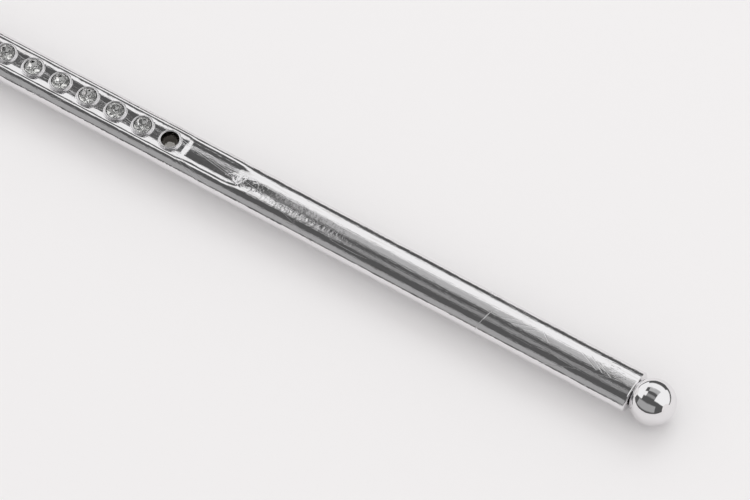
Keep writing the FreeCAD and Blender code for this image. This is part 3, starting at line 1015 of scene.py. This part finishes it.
def finish_plating(tree, shader, point, lines, wear, stain, peel_size, depth):
    """Colour, roughness and bumps from the masks."""
    stained = maths(tree, "MULTIPLY", stain, 0.12)
    dull = maths(tree, "ADD", maths(tree, "MULTIPLY", wear, 0.8), stained, clamp=True)
    colour = mixed(tree, dull, CHROME, WORN_CHROME)
    tree.links.new(colour, shader.inputs["Base Color"])
    rough = maths(tree, "MULTIPLY_ADD", lines, 0.22, CHROME_ROUGHNESS)
    rough = maths(tree, "MULTIPLY_ADD", wear, 0.2, rough)
    rough = maths(tree, "MULTIPLY_ADD", stain, 0.03, rough)
    tree.links.new(rough, shader.inputs["Roughness"])
    peel = use(tree, "orange_peel", "Height", {"Point": point, "Size": peel_size})
    height = maths(tree, "MULTIPLY", peel, depth)
    height = maths(tree, "MULTIPLY_ADD", lines, -0.004 * MM, height)
    bump = node(tree, "ShaderNodeBump", {"Strength": 1.0, "Distance": 1.0, "Height": height})
    tree.links.new(bump.outputs[0], shader.inputs["Normal"])


def from_foot(along, round_shaft):
    """A place on the unrolled shaft, in millimetres from its foot and from its top line, + to the back."""
    return (Sizes.foot_x - along * MM, round_shaft * MM, 0)


# Start, end and width of the deeper scratches on the handle.
DEEP_SCRATCHES = [
    (from_foot(35, -0.5), from_foot(36.5, -6), 0.17),
    (from_foot(32.5, -1), from_foot(28.5, 1), 0.13),
    (from_foot(30, -1), from_foot(25, 1), 0.17),
    (from_foot(27, -1), from_foot(23.5, 1), 0.13),
    (from_foot(23, 1), from_foot(21, -1), 0.13),
    (from_foot(13.5, 1), from_foot(9, -1.5), 0.17),
    (from_foot(11.5, 1.5), from_foot(7.5, -1.5), 0.13),
    (from_foot(9, 0.5), from_foot(5.5, -1.5), 0.17),
]

# Centre, reach and raggedness of the places where the plating is rough: by the foot, and where the
# channel ends.
ROUGH_PATCHES = [
    (from_foot(6, 0.5), (4 * MM, 2 * MM, 1), 1.5),
    ((Sizes.channel_end - 2 * MM, -1 * MM, 0), (5 * MM, 2 * MM, 1), 1.5),
]


def shaft_plating():
    """The shaft's plating, with the scratches and rough patches of its handle and glue in its empty cup."""
    material, tree, shader = new_material("shaft_chrome")
    point = node(tree, "ShaderNodeTexCoord").outputs["Object"]
    place = use(tree, "unrolled_round_shaft", "Place", {"Point": point})
    hairs = most_of(tree, [
        use(tree, "hairline_scratches", "Mask", {"Place": place, "Turn": turn, "Spacing": spacing * MM})
        for turn, spacing in ((0.0, 0.9), (0.25, 1.5), (-0.3, 2.0))
    ])
    deep = most_of(tree, [
        use(tree, "one_scratch", "Mask", {"Place": place, "Start": start, "End": end, "Width": width * MM})
        for start, end, width in DEEP_SCRATCHES
    ])
    rough_spots = most_of(tree, [
        use(tree, "ragged_patch", "Mask", {"Place": place, "Centre": where, "Reach": reach, "Ragged": ragged})
        for where, reach, ragged in ROUGH_PATCHES
    ])
    stretched = vector_maths(tree, "MULTIPLY", place, (0.10, 1.0, 1.0))
    stain = band(tree, speckle(tree, stretched, 0.6 * MM, 3.0, 2.0), 0.52, 0.75)
    glue = glue_mask(tree, point)

    dull = maths(tree, "MULTIPLY", stain, 0.30)
    colour = mixed(tree, dull, CHROME, WORN_CHROME)
    # painted shade: the empty cup's wall below its rim is darkened
    colour = mixed(tree, empty_cup_shade_mask(tree, point), colour, EMPTY_CUP_SHADE)
    colour = mixed(tree, glue, colour, DRIED_GLUE)
    tree.links.new(colour, shader.inputs["Base Color"])
    tree.links.new(maths(tree, "SUBTRACT", 1.0, glue), shader.inputs["Metallic"])
    rough = maths(tree, "MULTIPLY_ADD", hairs, 0.20, CHROME_ROUGHNESS)
    rough = maths(tree, "MULTIPLY_ADD", deep, 0.50, rough)
    rough = maths(tree, "MULTIPLY_ADD", rough_spots, 0.06, rough)
    rough = maths(tree, "MULTIPLY_ADD", stain, 0.05, rough)
    rough = maths(tree, "MULTIPLY_ADD", glue, 0.35, rough)
    tree.links.new(rough, shader.inputs["Roughness"])

    peel = use(tree, "orange_peel", "Height", {"Point": point, "Size": 1.0 * MM})
    depth = maths(tree, "MULTIPLY_ADD", rough_spots, 0.040 * MM, 0.016 * MM)
    streaks = maths(tree, "MULTIPLY", speckle(tree, stretched, 0.28 * MM, 2.0, 7.0), 0.020 * MM)
    height = maths(tree, "MULTIPLY_ADD", peel, depth, streaks)
    height = maths(tree, "MULTIPLY_ADD", hairs, -0.006 * MM, height)
    height = maths(tree, "MULTIPLY_ADD", deep, -0.015 * MM, height)
    bump = node(tree, "ShaderNodeBump", {"Strength": 1.0, "Distance": 1.0, "Height": height})
    tree.links.new(bump.outputs[0], shader.inputs["Normal"])
    return material


def empty_cup_shade_mask(tree, point):
    """1 inside the cup that has lost its stone, below its rim, where its wall is darkened with painted shade.
    """
    s = Sizes
    mouth = (s.first_cup_x, 0, s.axis_z + s.rim_top - s.cup_depth / 2 - 0.2 * MM)
    share = vector_maths(tree, "DIVIDE", vector_maths(tree, "SUBTRACT", point, mouth),
                         (s.mouth_radius, s.mouth_radius, s.cup_depth / 2))
    return band(tree, vector_maths(tree, "LENGTH", share), 1.45, 1.30)


def glue_mask(tree, point):
    """1 on the floor of the cup that has lost its stone, where its glue is left."""
    s = Sizes
    floor = (s.first_cup_x, 0, s.axis_z + s.rim_top - s.cup_depth)
    away = vector_maths(tree, "DISTANCE", point, floor)
    noise_about_0 = maths(tree, "SUBTRACT", speckle(tree, point, 0.5 * MM, 2.0), 0.5)
    ragged = maths(tree, "MULTIPLY", noise_about_0, 0.5 * MM)
    return band(tree, maths(tree, "ADD", away, ragged), 1.3 * MM, 1.1 * MM)


def crystal(name):
    """Clear polished stone, with a few specks of dust."""
    material, tree, shader = new_material(name)
    shader.inputs["Base Color"].default_value = (1.0, 1.0, 1.0, 1)
    shader.inputs["Transmission Weight"].default_value = 1
    shader.inputs["IOR"].default_value = 1.52
    point = node(tree, "ShaderNodeTexCoord").outputs["Object"]
    dust = band(tree, speckle(tree, point, 0.9 * MM, 2.0), 0.68, 0.80)
    tree.links.new(maths(tree, "MULTIPLY", dust, 0.08), shader.inputs["Roughness"])
    return material


def foil(name):
    """Bright silver foil behind a stone."""
    material, _, shader = new_material(name)
    shader.inputs["Metallic"].default_value = 1
    shader.inputs["Base Color"].default_value = (0.97, 0.97, 0.96, 1)
    shader.inputs["Roughness"].default_value = 0.05
    return material


# ---------------------------------------------------------------- studio

CAMERA_SWING = 32      # degrees that the camera stands round from square to the shaft
CAMERA_RISE = 58       # degrees above the horizon
VIEW_WIDTH = 0.158     # metres across the picture at the shaft
CAMERA_DISTANCE = 2.6
AIM_FROM_BALL = 0.0691
AIM_BACK = 0.0010


def camera_axes():
    swing = math.radians(CAMERA_SWING)
    rise = math.radians(CAMERA_RISE)
    ahead = Vector((-math.sin(swing), math.cos(swing), 0))
    return ahead, rise


def make_camera():
    ahead, rise = camera_axes()
    back = -ahead * math.cos(rise) + Vector((0, 0, math.sin(rise)))
    target = Vector((Sizes.ball_x - AIM_FROM_BALL, AIM_BACK, Sizes.axis_z))
    lens = bpy.data.cameras.new("studio_camera")
    lens.sensor_width = 36
    lens.lens = lens.sensor_width * CAMERA_DISTANCE / VIEW_WIDTH
    lens.clip_end = 20
    camera = bpy.data.objects.new("studio_camera", lens)
    camera.location = target + back * CAMERA_DISTANCE
    camera.rotation_mode = "QUATERNION"
    camera.rotation_quaternion = (-back).to_track_quat("-Z", "Y")
    bpy.context.scene.collection.objects.link(camera)
    bpy.context.scene.camera = camera


def make_floor():
    material, _, shader = new_material("table_top")
    shader.inputs["Base Color"].default_value = (0.90, 0.90, 0.905, 1)
    shader.inputs["Roughness"].default_value = 0.75
    half = 1.2
    mesh = bpy.data.meshes.new("table_top")
    corners = [(-half, -half, 0), (half, -half, 0), (half, half, 0), (-half, half, 0)]
    mesh.from_pydata(corners, [], [(0, 1, 2, 3)])
    mesh.materials.append(material)
    floor = bpy.data.objects.new("table_top", mesh)
    bpy.context.scene.collection.objects.link(floor)


TENT_RADIUS = 0.35
TENT_HALF_LENGTH = 1.1
TENT_CLOTH = 0.10
PANEL_EDGE = 4            # degrees over which a panel's light fades out
PANEL_END = 0.01          # and metres, at its two ends

# The tent's lit panels: where each starts and ends in degrees over the wand, from the front
# horizon, where it starts and ends along the tent, and how bright it is. A flat mirror facing up sees
# the tent at about 118 degrees, just below the window, so the channel's floor stays dark, and
# the channel's far slope sees it at about 84, over the stones.
PANELS = [
    (10, 45, -0.30, 0.40, 0.40),
    (75, 88, -0.30, 0.40, 0.30),
    (75, 98, -0.40, -0.05, 1.0),
    (104, 125, -0.05, 0.40, 0.50),
    (125, 157, -0.40, 0.40, 1.0),
    (50, 170, -TENT_HALF_LENGTH, -0.16, 1.0),
    (70, 170, 0.25, TENT_HALF_LENGTH, 1.0),
]


def make_tent():
    """The dim studio and its windows, as a long half pipe over the wand that only mirrors and glass see."""
    sheet = Sheet()
    steps = 48
    loops = []
    for x in (-TENT_HALF_LENGTH, TENT_HALF_LENGTH):
        arc = []
        for i in range(steps + 1):
            angle = math.pi * i / steps
            arc.append(Vector((x, -TENT_RADIUS * math.cos(angle), TENT_RADIUS * math.sin(angle))))
        loops.append(sheet.loop(arc))
    sheet.strip(loops, closed=False)
    mesh = bpy.data.meshes.new("studio_tent")
    mesh.from_pydata([tuple(p) for p in sheet.points], [], sheet.faces)
    mesh.materials.append(tent_material())
    tent = bpy.data.objects.new("studio_tent", mesh)
    for unseen in ("visible_camera", "visible_diffuse", "visible_shadow", "visible_volume_scatter"):
        setattr(tent, unseen, False)
    bpy.context.scene.collection.objects.link(tent)


def between(tree, value, low, high, softness):
    """1 between two values and 0 outside them, fading over the softness."""
    entered = band(tree, value, low - softness, low + softness)
    left = band(tree, value, high + softness, high - softness)
    return maths(tree, "MULTIPLY", entered, left)


def tent_material():
    """Dim cloth with its lit panels."""
    material, tree, shader = new_material("studio_tent")
    point = node(tree, "ShaderNodeTexCoord").outputs["Object"]
    parts = node(tree, "ShaderNodeSeparateXYZ", {0: point}).outputs
    turn = maths(tree, "ARCTAN2", parts["Z"], maths(tree, "MULTIPLY", parts["Y"], -1.0))
    angle = maths(tree, "MULTIPLY", turn, 180 / math.pi)
    colour = (TENT_CLOTH, TENT_CLOTH, TENT_CLOTH)
    for low, high, start, end, light in PANELS:
        over = between(tree, angle, low, high, PANEL_EDGE)
        along = between(tree, parts["X"], start, end, PANEL_END)
        colour = mixed(tree, maths(tree, "MULTIPLY", over, along), colour, (light, light, light))
    glow = node(tree, "ShaderNodeEmission", {"Color": colour, "Strength": 1.0})
    tree.links.new(glow.outputs[0], tree.nodes["Material Output"].inputs["Surface"])
    tree.nodes.remove(shader)
    return material


def make_room():
    """Even pale light from all round."""
    world = bpy.data.worlds.new("room")
    bpy.context.scene.world = world
    world.use_nodes = True
    back = world.node_tree.nodes["Background"]
    back.inputs["Color"].default_value = (0.95, 0.925, 0.92, 1)
    back.inputs["Strength"].default_value = 0.94


def make_lights():
    ahead = camera_axes()[0]
    light = bpy.data.lights.new("window", "AREA")
    light.shape = "RECTANGLE"
    light.size = 1.0
    light.size_y = 0.8
    light.energy = 3.2
    light.color = (0.96, 1.0, 1.0)
    lamp = bpy.data.objects.new("window", light)
    right = Vector((ahead.y, -ahead.x, 0))
    lamp.location = ahead * 1.0 + right * 0.5 + Vector((0, 0, 1.2))
    lamp.rotation_mode = "QUATERNION"
    lamp.rotation_quaternion = (-lamp.location).to_track_quat("-Z", "Y")
    lamp.visible_camera = False
    lamp.visible_glossy = False
    lamp.visible_transmission = False
    bpy.context.scene.collection.objects.link(lamp)


bpy.context.scene.view_settings.view_transform = "Standard"
make_camera()
make_floor()
make_tent()
make_room()
make_lights()
make_groups()
shaft_chrome = shaft_plating()
make_shaft(shaft_chrome)
make_ball(plating("ball_chrome", 2.2 * MM, 0.035 * MM))
make_collar(plating("collar_chrome", 1.6 * MM, 0.006 * MM))
make_star(plating("star_chrome", 2.4 * MM, 0.014 * MM))
make_stones(crystal("small_crystal"), foil("small_foil"), crystal("large_crystal"), foil("large_foil"))
